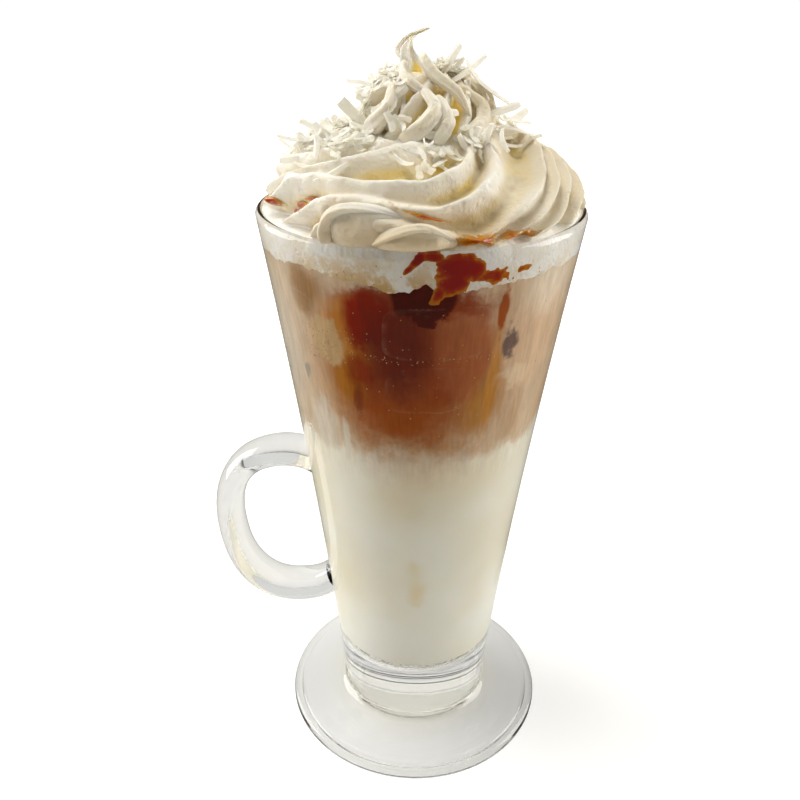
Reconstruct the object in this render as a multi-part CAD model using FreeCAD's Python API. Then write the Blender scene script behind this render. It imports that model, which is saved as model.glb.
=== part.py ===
import FreeCAD, Part
import math
import os

# A handled glass of layered milk and coffee under piped cream, in millimetres.
# Origin: middle of the foot's resting plane. +Z is up, and the handle points along -X.

# Glass: foot, short solid stem, flared bowl
glass_height = 154.0          # resting plane to top of the rim
rim_radius = 39.0             # outer radius of the bowl at the rim
rim_wall = 2.3                # wall at the rim, which is fully rounded
bowl_base_radius = 21.3       # outer radius where the bowl springs from the foot
bowl_base_height = 9.0        # height of that place
bowl_bow = 1.13               # how far the bowl's side bends inwards from a straight line
bowl_wall = 3.0               # wall at the bottom of the bowl
floor_height = 21.0           # resting plane to the inside floor
floor_fillet = 9.0            # inside corner between floor and wall
foot_radius = 37.8
foot_edge_round = 1.6         # the foot's edge is fully rounded
foot_rest_width = 6.2         # width of the flat ring that the glass stands on
foot_kick_height = 1.2        # rise of the hollow under the foot
foot_neck_run = 3.2           # from there outwards to the foot's sloping top
foot_neck_height = 6.4

# Handle: an oval bar bent into a rounded loop
handle_middle_height = 62.2   # height of the loop's centre
handle_standoff = 8.7         # loop's centre out from the bowl's side
handle_reach = 17.5           # half of the loop's centreline, outwards
handle_rise = 23.3            # half of the loop's centreline, upwards
handle_lean = 5.3             # degrees the loop leans, top outwards
handle_squareness = 2.29      # 2 is an ellipse, more is squarer
handle_half_thick = 3.85      # bar, in the plane of the loop
handle_half_wide = 6.3        # bar, across the loop
handle_stations = 15          # places where the bar's centreline is worked out
handle_sink = 7.0             # how far past the bowl's side the bar is drawn before it is cut
handle_inset = -0.8           # the bar ends this far inside the wall

# Drink and cream
fill_clearance = 0.2          # between the glass and what fills it
layer_clearance = 0.05        # between one layer and the next
cream_depth = 10.4            # rim down to the coffee
coffee_depth = 43.1           # coffee down to the milk, which fills the rest
cream_rim_clearance = 0.3     # cream over the rim

# Piped swirl: a lower tier and a crown of twisted flutes, and a thin curled tip
swirl_flutes = 16
flute_samples = 5             # mesh columns for each flute
lobe_roundness = 1.25         # how slowly a flute's outer face falls away from its crest
lip_steepness = 0.55          # how fast the groove drops behind the next crest
tier_inset = 1.7              # lower tier, in from the rim's outside
tier_height = 17.2            # rim to top of the lower tier
tier_taper = 1.1
tier_rows = 12
tier_twist = 108.0            # degrees a flute turns while it climbs the lower tier
tier_groove = 3.2             # depth of its grooves
crown_radius = 15.2
crown_height = 11.8
crown_taper = 1.35
crown_rows = 10
crown_twist = 46.0
crown_groove = 2.2
tip_radius = 4.7
tip_height = 9.2
tip_end_radius = 0.45
tip_taper = 1.4
tip_rows = 7
tip_twist = 70.0
tip_groove = 1.1
tip_lean = -3.6               # the tip leans towards the handle
tip_curl = 4.6                # and its end curls back
swirl_uneven = 0.9            # how far the outline wanders in and out
dollop_azimuth = -108.0       # start of the piped rope, which hangs over the rim
dollop_half_width = 26.0
dollop_bulge = 2.2
plug_rows = 3                 # mesh rows down the inside of the glass

rim_round = rim_wall / 2
rim_round_height = glass_height - rim_round
coffee_level = glass_height - cream_depth
milk_level = coffee_level - coffee_depth
swirl_base_height = glass_height + cream_rim_clearance
tier_radius = rim_radius - tier_inset
foot_rest_radius = foot_radius - foot_edge_round
foot_kick_radius = foot_rest_radius - foot_rest_width
foot_neck_radius = bowl_base_radius + foot_neck_run


def point(radius, height):
    return FreeCAD.Vector(radius, 0, height)


def line(start, end):
    return Part.LineSegment(start, end).toShape()


def arc(start, middle, end):
    return Part.Arc(start, middle, end).toShape()


def revolve(edges):
    face = Part.Face(Part.Wire(edges))
    return face.revolve(FreeCAD.Vector(0, 0, 0), FreeCAD.Vector(0, 0, 1), 360)


def bowl_outer_radius(height):
    climb = (height - bowl_base_height) / (rim_round_height - bowl_base_height)
    straight = bowl_base_radius + (rim_radius - bowl_base_radius) * climb
    return straight - 4 * bowl_bow * climb * (1 - climb)


def bowl_inner_radius(height):
    climb = (height - bowl_base_height) / (rim_round_height - bowl_base_height)
    return bowl_outer_radius(height) - bowl_wall - (rim_wall - bowl_wall) * climb


def bowl_side(radius_at, low, high):
    """Curved side of the bowl between two heights, whose radius is quadratic in height."""
    middle = (low + high) / 2
    bend = 2 * radius_at(middle) - (radius_at(low) + radius_at(high)) / 2
    curve = Part.BezierCurve()
    curve.setPoles([point(radius_at(low), low), point(bend, middle),
                    point(radius_at(high), high)])
    return curve.toShape()


def inside_corner(gap):
    """Start, middle and end of the fillet between floor and wall, gap inside the glass."""
    top = floor_height + floor_fillet
    outer = bowl_inner_radius(top) - gap
    inset = floor_fillet * (1 - math.sqrt(0.5))
    start = point(outer - floor_fillet, floor_height + gap)
    middle = point(outer - inset, floor_height + inset + gap / 2)
    return start, middle, point(outer, top)


def foot_edges():
    kick_middle = point(foot_kick_radius / 2, foot_kick_height * 0.75)
    shoulder = point(foot_rest_radius, 2 * foot_edge_round)
    neck = point(foot_neck_radius, foot_neck_height)
    neck_run = foot_neck_radius - bowl_base_radius
    neck_rise = bowl_base_height - foot_neck_height
    neck_middle = point(bowl_base_radius + neck_run * 0.30, foot_neck_height + neck_rise * 0.34)
    return [
        arc(point(0, foot_kick_height), kick_middle, point(foot_kick_radius, 0)),
        line(point(foot_kick_radius, 0), point(foot_rest_radius, 0)),
        arc(point(foot_rest_radius, 0), point(foot_radius, foot_edge_round), shoulder),
        line(shoulder, neck),
        arc(neck, neck_middle, point(bowl_base_radius, bowl_base_height)),
    ]


def bowl_and_foot():
    wall_start = floor_height + floor_fillet
    corner = inside_corner(0)
    rim_outside = point(rim_radius, rim_round_height)
    rim_inside = point(rim_radius - rim_wall, rim_round_height)
    return revolve(foot_edges() + [
        bowl_side(bowl_outer_radius, bowl_base_height, rim_round_height),
        arc(rim_outside, point(rim_radius - rim_round, glass_height), rim_inside),
        bowl_side(bowl_inner_radius, wall_start, rim_round_height),
        arc(*corner),
        line(corner[0], point(0, floor_height)),
        line(point(0, floor_height), point(0, foot_kick_height)),
    ])


def fill(low, high, gap):
    """Solid that fills the bowl between two heights, or from the floor if low is below it."""
    def radius_at(height):
        return bowl_inner_radius(height) - gap

    bottom = point(0, low)
    edges = []
    if low <= floor_height:
        corner = inside_corner(gap)
        bottom = point(0, corner[0].z)
        edges += [line(bottom, corner[0]), arc(*corner)]
        low = floor_height + floor_fillet
    else:
        edges.append(line(bottom, point(radius_at(low), low)))
    edges.append(bowl_side(radius_at, low, high))
    edges.append(line(point(radius_at(high), high), point(0, high)))
    edges.append(line(point(0, high), bottom))
    return revolve(edges)


def loop_point(angle):
    """Centreline of the handle's loop; angle 0 points away from the bowl, 90 up."""
    power = 2 / handle_squareness
    across = math.copysign(abs(math.cos(angle)) ** power, math.cos(angle)) * handle_reach
    up = math.copysign(abs(math.sin(angle)) ** power, math.sin(angle)) * handle_rise
    lean = math.radians(handle_lean)
    middle = bowl_outer_radius(handle_middle_height) + handle_standoff
    out = middle + across * math.cos(lean) + up * math.sin(lean)
    height = handle_middle_height - across * math.sin(lean) + up * math.cos(lean)
    return FreeCAD.Vector(-out, 0, height)


def loop_end(direction):
    """Angle at which the centreline has gone far enough past the bowl's side."""
    angle = 90.0
    while angle < 180:
        place = loop_point(math.radians(direction * angle))
        if -place.x < bowl_outer_radius(place.z) - handle_sink:
            break
        angle += 0.5
    return math.radians(direction * angle)


def handle():
    top = loop_end(1)
    bottom = loop_end(-1)
    steps = [top + (bottom - top) * k / (handle_stations - 1) for k in range(handle_stations)]
    centreline = Part.BSplineCurve()
    centreline.interpolate([loop_point(step) for step in steps])
    start = centreline.value(centreline.FirstParameter)
    along = centreline.tangent(centreline.FirstParameter)[0]
    across = FreeCAD.Vector(0, 1, 0)
    inward = along.cross(across)
    section = Part.Ellipse(start + across * handle_half_wide, start + inward * handle_half_thick,
                           start)
    path = Part.Wire(centreline.toShape())
    return path.makePipeShell([Part.Wire(section.toShape())], True, True)


def glass():
    bar = handle().cut(fill(floor_height, rim_round_height, handle_inset))
    return bowl_and_foot().fuse(bar).removeSplitter()


def groove_share(column):
    """Depth of the groove at a mesh column: 0 on a crest, 1 at the bottom."""
    place = (column % flute_samples) / flute_samples
    bottom = lobe_roundness / (lobe_roundness + lip_steepness)
    deepest = bottom ** lobe_roundness * (1 - bottom) ** lip_steepness
    return place ** lobe_roundness * (1 - place) ** lip_steepness / deepest


def plug_ring(radius, height):
    return [FreeCAD.Vector(radius * math.cos(angle), radius * math.sin(angle), height)
            for angle in column_angles(0)]


def column_angles(twist):
    columns = swirl_flutes * flute_samples
    return [math.radians(360 * column / columns + twist) for column in range(columns)]


def dollop(azimuth, climb):
    """Share of the overhanging bulge at an azimuth and a climb from 0 to 1."""
    away = math.degrees(azimuth) - dollop_azimuth
    away = (away + 180) % 360 - 180
    return math.exp(-(away / dollop_half_width) ** 2) * math.exp(-((climb - 0.12) / 0.2) ** 2)


def tier_ring(foot, top, rise, base, taper, climb, groove, twist):
    """One ring of a tier: climb runs from 0 at its foot to 1 at its top."""
    turn = math.pi / 2 * climb
    radius = top + (foot - top) * math.cos(turn) ** taper
    height = base + rise * math.sin(turn)
    out = math.cos(turn)
    up = math.sin(turn)
    ring = []
    for column, azimuth in enumerate(column_angles(twist * climb)):
        depth = groove * groove_share(column) * math.sin(math.pi * min(1, 0.12 + climb)) ** 0.5
        wander = swirl_uneven * (math.sin(azimuth + 1.0) + math.sin(2 * azimuth + 0.4)) / 2
        bulge = dollop_bulge * dollop(azimuth, climb) * foot / tier_radius
        reach = radius - depth * out + (wander + bulge) * out * min(1, 3 * climb)
        ring.append(FreeCAD.Vector(reach * math.cos(azimuth), reach * math.sin(azimuth),
                                   height - depth * up))
    return ring


def tip_ring(climb, base, twist):
    radius = tip_end_radius + (tip_radius - tip_end_radius) * (1 - climb) ** tip_taper
    sway = tip_lean * math.sin(math.pi * min(1, 0.5 + climb / 2) * 0.5) + tip_curl * climb ** 3
    ring = []
    for column, azimuth in enumerate(column_angles(twist * climb)):
        reach = radius - tip_groove * groove_share(column) * (1 - climb)
        ring.append(FreeCAD.Vector(sway * climb + reach * math.cos(azimuth),
                                   reach * math.sin(azimuth), base + tip_height * climb))
    return ring


def cream_rings():
    low = coffee_level + layer_clearance
    rings = []
    for row in range(plug_rows + 1):
        height = low + (rim_round_height - low) * row / plug_rows
        rings.append(plug_ring(bowl_inner_radius(height) - fill_clearance, height))
    over = (rim_round + cream_rim_clearance) * math.sqrt(0.5)
    rings.append(plug_ring(rim_radius - rim_round - over, rim_round_height + over))
    for row in range(tier_rows):
        rings.append(tier_ring(tier_radius, crown_radius, tier_height, swirl_base_height,
                               tier_taper, row / tier_rows, tier_groove, tier_twist))
    crown_base = swirl_base_height + tier_height
    for row in range(crown_rows):
        rings.append(tier_ring(crown_radius, tip_radius, crown_height, crown_base,
                               crown_taper, row / crown_rows, crown_groove, crown_twist))
    for row in range(tip_rows + 1):
        rings.append(tip_ring(row / tip_rows, crown_base + crown_height, tip_twist))
    return rings


def cream():
    """One closed solid: the plug inside the glass and the swirl over it."""
    rings = cream_rings()
    columns = len(rings[0])
    foot = FreeCAD.Vector(0, 0, rings[0][0].z)
    end = sum(rings[-1], FreeCAD.Vector()) / columns
    corners = [corner for ring in rings for corner in ring] + [foot, end]
    facets = []
    for row in range(len(rings) - 1):
        for column in range(columns):
            beside = (column + 1) % columns
            a, b = row * columns + column, row * columns + beside
            facets += [(a, b, b + columns), (a, b + columns, a + columns)]
    last = (len(rings) - 1) * columns
    for column in range(columns):
        beside = (column + 1) % columns
        facets.append((beside, column, len(corners) - 2))
        facets.append((last + column, last + beside, len(corners) - 1))
    faces = [Part.Face(Part.makePolygon([corners[k] for k in facet + facet[:1]]))
             for facet in facets]
    shell = Part.makeShell(faces)
    shell.sewShape()
    return Part.Solid(shell)


def main():
    os.makedirs("parts", exist_ok=True)
    pieces = {
        "glass": glass(),
        "milk": fill(floor_height, milk_level, fill_clearance),
        "coffee": fill(milk_level + layer_clearance, coffee_level, fill_clearance),
        "cream": cream(),
    }
    for name, piece in pieces.items():
        piece.exportStep("parts/" + name + ".step")


if __name__ == "__main__":
    main()
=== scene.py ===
import math
import random

import bpy
import numpy as np
from mathutils import Matrix, Vector

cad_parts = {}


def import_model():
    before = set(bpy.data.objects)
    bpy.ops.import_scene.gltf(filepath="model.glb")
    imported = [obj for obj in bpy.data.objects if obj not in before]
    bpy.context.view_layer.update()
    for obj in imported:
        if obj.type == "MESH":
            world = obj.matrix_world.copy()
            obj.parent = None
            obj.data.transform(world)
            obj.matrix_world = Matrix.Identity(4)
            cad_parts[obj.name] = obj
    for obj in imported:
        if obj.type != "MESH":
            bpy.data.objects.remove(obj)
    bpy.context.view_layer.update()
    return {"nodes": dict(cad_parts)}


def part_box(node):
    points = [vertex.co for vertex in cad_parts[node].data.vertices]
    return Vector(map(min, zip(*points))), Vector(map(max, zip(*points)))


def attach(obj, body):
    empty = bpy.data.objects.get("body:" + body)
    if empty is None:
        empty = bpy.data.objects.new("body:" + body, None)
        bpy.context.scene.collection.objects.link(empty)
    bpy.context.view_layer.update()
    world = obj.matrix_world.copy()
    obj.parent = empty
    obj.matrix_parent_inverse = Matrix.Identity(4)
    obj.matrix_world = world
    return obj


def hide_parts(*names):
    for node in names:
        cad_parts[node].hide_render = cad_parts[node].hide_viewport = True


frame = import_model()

MM = 0.001
random.seed(7)

# Sizes in millimetres; levels and radii come from the CAD nodes.
glass_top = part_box("glass")[1][2] / MM
rim_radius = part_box("glass")[1][0] / MM
milk_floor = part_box("milk")[0][2] / MM
milk_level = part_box("milk")[1][2] / MM
coffee_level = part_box("coffee")[1][2] / MM
cream_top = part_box("cream")[1][2] / MM

rim_wall = 2.3
bowl_wall = 3.0
bowl_base_radius = 21.3
bowl_base_height = 9.0
bowl_bow = 1.13
floor_fillet = 9.0
rim_round_height = glass_top - rim_wall / 2

drink_reach = 0.06            # how far each thing in the glass reaches into its wall
ice_reach = 0.10
cream_reach = 0.14
drip_reach = 0.20

swirl_base = glass_top + 0.3
tier_radius = 36.7
tier_height = 17.2
crown_radius = 15.4
crown_height = 11.8
tip_radius = 4.7
tip_height = cream_top - swirl_base - tier_height - crown_height
tier_arc = 28.0               # length of the lower tier's side, foot to top
tip_end_radius = 1.5
tier_twist = 108              # degrees the mesh turns while it climbs each part
crown_twist = 62
tip_twist = 150
tier_groove_share = 0.62      # groove depth over the distance between two crests
tier_groove_most = 4.8
crown_groove_share = 0.55
crown_groove_most = 3.4
lip_inner_reach = 36.62       # widest the cream may be just under the rim's top, and just over it
lip_outer_reach = 37.1
sharp_angle = 70              # edges over this many degrees are shown sharp


# ---- mesh helpers

def bowl_outer_radius(z):
    climb = (z - bowl_base_height) / (rim_round_height - bowl_base_height)
    return (bowl_base_radius + (rim_radius - bowl_base_radius) * climb
            - 4 * bowl_bow * climb * (1 - climb))


def bowl_inner_radius(z):
    climb = (z - bowl_base_height) / (rim_round_height - bowl_base_height)
    return bowl_outer_radius(z) - bowl_wall - (rim_wall - bowl_wall) * climb


def around(radius, azimuth, z):
    """Points in millimetres from cylinder coordinates, azimuth in degrees."""
    turn = np.radians(azimuth)
    return np.stack([radius * np.cos(turn), radius * np.sin(turn), z + 0 * radius], -1)


def smooth_step(low, high, value):
    share = np.clip((value - low) / (high - low), 0, 1)
    return share * share * (3 - 2 * share)


def bump(centre, half_width, value):
    return np.exp(-((value - centre) / half_width) ** 2)


def make_object(name, corners, faces, material, values=None):
    """Mesh object from corners in millimetres, with named values on its corners."""
    mesh = bpy.data.meshes.new(name)
    mesh.from_pydata((np.asarray(corners) * MM).tolist(), [], faces)
    mesh.polygons.foreach_set("use_smooth", [True] * len(mesh.polygons))
    for key, numbers in (values or {}).items():
        layer = mesh.attributes.new(key, "FLOAT", "POINT")
        layer.data.foreach_set("value", np.asarray(numbers, dtype=np.float32).ravel())
    mesh.set_sharp_from_angle(angle=math.radians(sharp_angle))
    mesh.materials.append(material)
    made = bpy.data.objects.new(name, mesh)
    bpy.context.collection.objects.link(made)
    return made


def grid_faces(rows, columns, closed, start=0):
    """Quads of a grid whose rows run upwards and columns run counterclockwise."""
    faces = []
    last = columns if closed else columns - 1
    for row in range(rows - 1):
        low = start + row * columns
        for column in range(last):
            beside = (column + 1) % columns
            faces.append((low + column, low + beside,
                          low + columns + beside, low + columns + column))
    return faces


def lathe_like(name, rings, material, values=None):
    """Closed surface through rings of corners, capped at the first and last ring."""
    rows, columns = rings.shape[:2]
    corners = rings.reshape(-1, 3)
    ends = np.stack([rings[0].mean(0), rings[-1].mean(0)])
    faces = grid_faces(rows, columns, True)
    foot = rows * columns
    last = (rows - 1) * columns
    for column in range(columns):
        beside = (column + 1) % columns
        faces.append((beside, column, foot))
        faces.append((last + column, last + beside, foot + 1))
    padded = {key: np.concatenate([numbers.ravel(), [numbers[0].mean(), numbers[-1].mean()]])
              for key, numbers in (values or {}).items()}
    return make_object(name, np.concatenate([corners, ends]), faces, material, padded)


def value_noise(x, y, z, seed=0):
    """Smooth noise in -1..1, vectorised, from hashed lattice corners."""
    cell = [np.floor(v).astype(np.int64) for v in (x, y, z)]
    part = [v - np.floor(v) for v in (x, y, z)]
    ease = [p * p * (3 - 2 * p) for p in part]
    total = 0
    for corner in range(8):
        offset = [(corner >> k) & 1 for k in range(3)]
        key = sum((c + o) * m for c, o, m in zip(cell, offset, (73856093, 19349663, 83492791)))
        key = (key + seed * 2654435761) & 0xFFFFFFFF
        key = ((key ^ (key >> 13)) * 1274126177) & 0xFFFFFFFF
        key = ((key ^ (key >> 16)) * 2246822519) & 0xFFFFFFFF
        weight = 1
        for o, e in zip(offset, ease):
            weight = weight * (e if o else 1 - e)
        total = total + weight * ((key & 0xFFFF) / 32767.5 - 1)
    return total


# ---- materials

def srgb(red, green, blue):
    """Linear colour from display values of 0 to 255."""
    linear = []
    for value in (red / 255, green / 255, blue / 255):
        linear.append(value / 12.92 if value <= 0.04045 else ((value + 0.055) / 1.055) ** 2.4)
    return (*linear, 1.0)


class Nodes:
    """Short names for building a tree of shader nodes."""

    def __init__(self, tree):
        self.nodes = tree.nodes
        self.links = tree.links

    def put(self, socket, value):
        if isinstance(value, bpy.types.NodeSocket):
            self.links.new(value, socket)
        else:
            socket.default_value = value

    def node(self, kind, inputs=None, **settings):
        made = self.nodes.new("ShaderNode" + kind)
        for name, value in settings.items():
            setattr(made, name, value)
        for name, value in (inputs or {}).items():
            self.put(made.inputs[name], value)
        return made

    def math(self, operation, *values):
        return self.node("Math", dict(enumerate(values)), operation=operation).outputs[0]

    def plus(self, first, second):
        return self.math("ADD", first, second)

    def minus(self, first, second):
        return self.math("SUBTRACT", first, second)

    def times(self, first, second):
        return self.math("MULTIPLY", first, second)

    def away(self, value, centre):
        """Distance of a value from a centre."""
        return self.math("ABSOLUTE", self.minus(value, centre))


class Shader(Nodes):
    """A material, and what its colours and relief are worked out from."""

    def __init__(self, name):
        self.material = bpy.data.materials.new(name)
        self.material.use_nodes = True
        super().__init__(self.material.node_tree)
        self.body = self.nodes["Principled BSDF"]
        self.output = self.nodes["Material Output"]

    def set(self, **values):
        for name, value in values.items():
            self.put(self.body.inputs[name.replace("_", " ")], value)

    def soften(self, weight, spread, scale):
        """Let light travel a little way, in millimetres, inside the surface."""
        self.set(Subsurface_Weight=weight, Subsurface_Radius=spread,
                 Subsurface_Scale=scale * MM)

    def blend(self, share, other):
        """Mix the principled surface with another one."""
        both = self.node("MixShader", {0: share, 1: self.body.outputs[0], 2: other})
        self.put(self.output.inputs["Surface"], both.outputs[0])

    def mix(self, share, low, high, blend="MIX"):
        made = self.node("Mix", {0: share, 6: low, 7: high}, data_type="RGBA",
                         blend_type=blend)
        return made.outputs[2]

    def ramp(self, value, low, high, out_low=0.0, out_high=1.0):
        """Value eased from one range to another and held at both ends."""
        made = self.node("MapRange", {"Value": value, "From Min": low, "From Max": high,
                                      "To Min": out_low, "To Max": out_high},
                         interpolation_type="SMOOTHSTEP")
        return made.outputs[0]

    def attribute(self, name):
        return self.node("Attribute", attribute_name=name).outputs["Fac"]

    def place(self):
        return self.node("TexCoord").outputs["Object"]

    def noise(self, scale, detail=3.0, rough=0.5, stretch=(1, 1, 1)):
        """Noise at a scale in waves per millimetre, optionally stretched."""
        moved = self.node("Mapping", {"Vector": self.place(),
                                      "Scale": [scale / MM * s for s in stretch]})
        made = self.node("TexNoise", {"Vector": moved.outputs[0], "Scale": 1.0,
                                      "Detail": detail, "Roughness": rough})
        return made.outputs["Fac"]

    def cylinder(self):
        """Azimuth in degrees and height in millimetres."""
        parts = self.node("SeparateXYZ", {"Vector": self.place()}).outputs
        turn = self.math("ARCTAN2", parts[1], parts[0])
        return self.math("DEGREES", turn), self.math("DIVIDE", parts[2], MM)

    def radius(self):
        """Distance from the glass's axis in millimetres."""
        parts = self.node("SeparateXYZ", {"Vector": self.place()}).outputs
        squares = [self.times(part, part) for part in parts[:2]]
        return self.math("DIVIDE", self.math("SQRT", self.plus(*squares)), MM)

    def relief(self, height, distance, strength=1.0):
        """Bump the surface by a height times a distance in millimetres."""
        made = self.node("Bump", {"Height": height, "Distance": distance * MM,
                                  "Strength": strength})
        self.set(Normal=made.outputs["Normal"])


def glass_material():
    """Clear glass with a warmer stem, and a faint ring and painted shade on the edge of its foot.
    """
    foot_low, foot_high = 5.0, 8.0
    edge_start, edge_end = 35.6, 37.0
    ring_radius, ring_half_width = 34.8, 0.9
    bowl_tint, foot_tint = (0.932, 0.932, 0.924, 1), (0.965, 0.962, 0.96, 1)
    stem_tint, painted_edge_shade_tint = (0.92, 0.90, 0.80, 1), (0.87, 0.87, 0.86, 1)
    shadow_tint = (0.96, 0.965, 0.96, 1)
    mat = Shader("clear_glass")
    _, height = mat.cylinder()
    radius = mat.radius()
    in_foot = mat.ramp(height, foot_high, foot_low)
    in_stem = mat.times(mat.ramp(height, foot_low, foot_high),
                        mat.ramp(height, milk_floor + 2, milk_floor - 1))
    tint = mat.mix(in_foot, bowl_tint, foot_tint)
    tint = mat.mix(in_stem, tint, stem_tint)
    # painted shade: the foot's rounded edge is tinted darker
    edge = mat.times(mat.ramp(radius, edge_start, edge_end), in_foot)
    tint = mat.mix(edge, tint, painted_edge_shade_tint)
    mat.set(Base_Color=tint, Roughness=0.0, IOR=1.5, Transmission_Weight=1.0)
    off = mat.away(radius, ring_radius)
    ring = mat.times(mat.ramp(off, ring_half_width, 0.0), in_foot)
    smear = mat.times(mat.noise(0.03, 2.0), 0.03)
    mat.relief(mat.plus(smear, ring), 0.18)
    clear = mat.node("BsdfTransparent", {"Color": shadow_tint})
    mat.blend(mat.node("LightPath").outputs["Is Shadow Ray"], clear.outputs[0])
    return mat.material


# Patches of colour in the drink: azimuth, height, half-width in degrees, half-height,
# softness from 0 to 1, strength, display colour. Later ones lie over earlier ones.
COFFEE_PATCHES = (
    # broad colours: partly the drink's own layering, partly painted shade at the front and painted
    # light at the left side
    (-92, 122, 43, 24, 0.6, 0.95, (186, 132, 86)),
    (-165, 124, 26, 26, 0.7, 0.9, (216, 206, 190)),
    # milk rising at the left, and pale and tan sides that are partly the drink's own milk and
    # partly painted light
    (-136, 107, 9, 7, 0.5, 0.8, (226, 218, 204)),
    (-124, 104, 2.4, 7, 0.5, 0.8, (232, 226, 212)),
    (-41, 130, 16, 13, 0.15, 0.9, (224, 194, 162)),
    (-133, 142, 8, 8, 0.7, 0.8, (152, 108, 58)),
    (-36, 143, 15, 7, 0.9, 0.8, (240, 226, 206)),
    (-64, 116, 9, 9, 0.8, 0.65, (200, 140, 44)),
    # brown and amber middle
    (-96, 125, 28, 19, 0.35, 0.95, (154, 68, 24)),
    (-96, 112, 24, 7, 0.9, 0.6, (180, 96, 22)),
    (-119, 121, 9, 8, 0.6, 0.85, (180, 114, 20)),
    # top and sides of the middle
    (-73, 132, 11, 13, 0.35, 0.85, (180, 104, 62)),
    (-92, 142, 30, 5, 0.4, 0.9, (148, 58, 14)),
    (-115, 134, 12, 9, 0.5, 0.9, (200, 130, 44)),
    (-108, 137, 10, 8, 0.4, 1.0, (146, 30, 0)),
    # dark cores, red and amber edges
    (-97, 131, 14, 12, 0.6, 0.9, (112, 36, 22)),
    (-113, 124, 6, 5, 0.6, 0.8, (140, 40, 4)),
    (-60, 122, 4, 13, 0.5, 0.8, (204, 142, 62)),
    (-60, 139, 2.4, 6, 0.3, 0.95, (160, 74, 8)),
    (-49, 121, 9, 2.2, 0.6, 0.5, (240, 222, 190)),
    (-88, 144.5, 12, 7.8, 0.10, 1.0, (84, 13, 3)),
    # spots
    (-126, 130, 8, 4.6, 0.3, 0.8, (208, 182, 138)),
    (-54.0, 130.8, 3.6, 3.8, 0.3, 0.95, (116, 94, 90)),
    (-142, 120, 2.0, 2.6, 0.5, 0.7, (150, 148, 142)),
    (-114, 116, 2.4, 4.0, 0.5, 0.8, (130, 54, 22)),
    # stains in the milk
    (-88, 57.5, 6.0, 4.0, 1.0, 0.5, (240, 214, 156)),
    (-90, 65, 4.5, 3.2, 1.0, 0.35, (238, 218, 168)),
    (-22, 53, 5.0, 3.6, 1.0, 0.35, (238, 216, 168)),
    (-92, 90, 20, 12, 0.95, 0.35, (228, 212, 176)),
    # the same kinds of patch at the back
    (92, 125, 52, 20, 0.8, 0.8, (190, 138, 94)),
    (104, 128, 26, 13, 0.5, 0.8, (152, 76, 36)),
    (72, 137, 20, 7, 0.5, 0.8, (184, 106, 36)),
    (118, 113, 18, 6, 0.8, 0.6, (196, 140, 72)),
    (25, 124, 22, 16, 0.6, 0.8, (216, 188, 156)),
    (60, 122, 2.6, 3.4, 0.4, 0.8, (122, 84, 66)),
)


# How far red, green and blue travel in milk and coffee, beside each other
DRINK_SPREAD = (1.0, 0.75, 0.5)


def drink_colour(mat):
    """Colour by azimuth and height, the same in milk, coffee and ice, and two noises."""
    azimuth, height = mat.cylinder()
    wisp = mat.noise(0.10, 4.0, 0.6, stretch=(1, 1, 0.22))
    fine = mat.noise(0.45, 4.0, 0.6, stretch=(1, 1, 0.12))
    hair = mat.noise(1.3, 3.0, 0.6, stretch=(1, 1, 0.04))
    broad = mat.noise(0.035, 2.0, 0.5)
    curdle = mat.noise(0.16, 5.0, 0.65)
    ragged = mat.plus(mat.times(wisp, 8.0), mat.plus(
        mat.times(fine, 5.0), mat.times(curdle, 14.0)))
    level = mat.plus(height, mat.minus(ragged, 13.5))
    milk = mat.mix(mat.ramp(broad, 0.35, 0.7), srgb(250, 248, 239), srgb(243, 236, 216))
    coffee = mat.mix(mat.ramp(wisp, 0.3, 0.7), srgb(212, 181, 146), srgb(220, 200, 174))
    colour = mat.mix(mat.ramp(level, milk_level - 2, milk_level + 5), milk, coffee)
    shifted = mat.plus(azimuth, mat.times(mat.minus(wisp, 0.5), 9.0))
    lifted = mat.plus(height, mat.times(mat.minus(curdle, 0.5), 14.0))
    for at, up, wide, high, soft, strength, tint in COFFEE_PATCHES:
        across = mat.math("DIVIDE", mat.minus(shifted, at), wide)
        along = mat.math("DIVIDE", mat.minus(lifted, up), high)
        far = mat.math("SQRT", mat.plus(mat.times(across, across),
                                        mat.times(along, along)))
        share = mat.ramp(far, 1 + soft * 0.6, 1 - soft, 0.0, strength)
        colour = mat.mix(share, colour, srgb(*tint))
    streak = mat.times(mat.ramp(fine, 0.35, 0.65, 0.93, 1.04),
                       mat.ramp(hair, 0.36, 0.66, 0.95, 1.07))
    grey = mat.node("CombineColor", {0: streak, 1: streak, 2: streak}).outputs[0]
    streaked = mat.mix(1.0, colour, grey, "MULTIPLY")
    in_coffee = mat.ramp(height, milk_level - 12, milk_level + 6)
    return mat.mix(in_coffee, colour, streaked), wisp, fine


def drink_material(name, soft):
    mat = Shader(name)
    colour, _, fine = drink_colour(mat)
    mat.set(Base_Color=colour, Roughness=0.5, Specular_IOR_Level=0.03)
    mat.soften(soft, DRINK_SPREAD, 0.9)
    mat.relief(fine, 0.05, 0.3)
    return mat.material


def ice_material():
    """The drink's own colour, with broken pale edges and hardly visible cracks."""
    mat = Shader("ice_in_coffee")
    colour, wisp, _ = drink_colour(mat)
    crack = mat.ramp(mat.noise(0.22, 3.0, 0.7), 0.56, 0.64)
    broken = mat.ramp(mat.noise(0.12, 3.0, 0.6), 0.46, 0.60, 0.0, 0.26)
    pale_edges_and_cracks = mat.math("MAXIMUM", mat.times(mat.attribute("edge"), broken),
                     mat.times(crack, 0.02))
    mat.set(Base_Color=mat.mix(pale_edges_and_cracks, colour, srgb(226, 202, 172)), Roughness=0.4,
            Specular_IOR_Level=0.05)
    mat.soften(0.15, DRINK_SPREAD, 0.9)
    mat.relief(wisp, 0.05, 0.3)
    return mat.material


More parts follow.
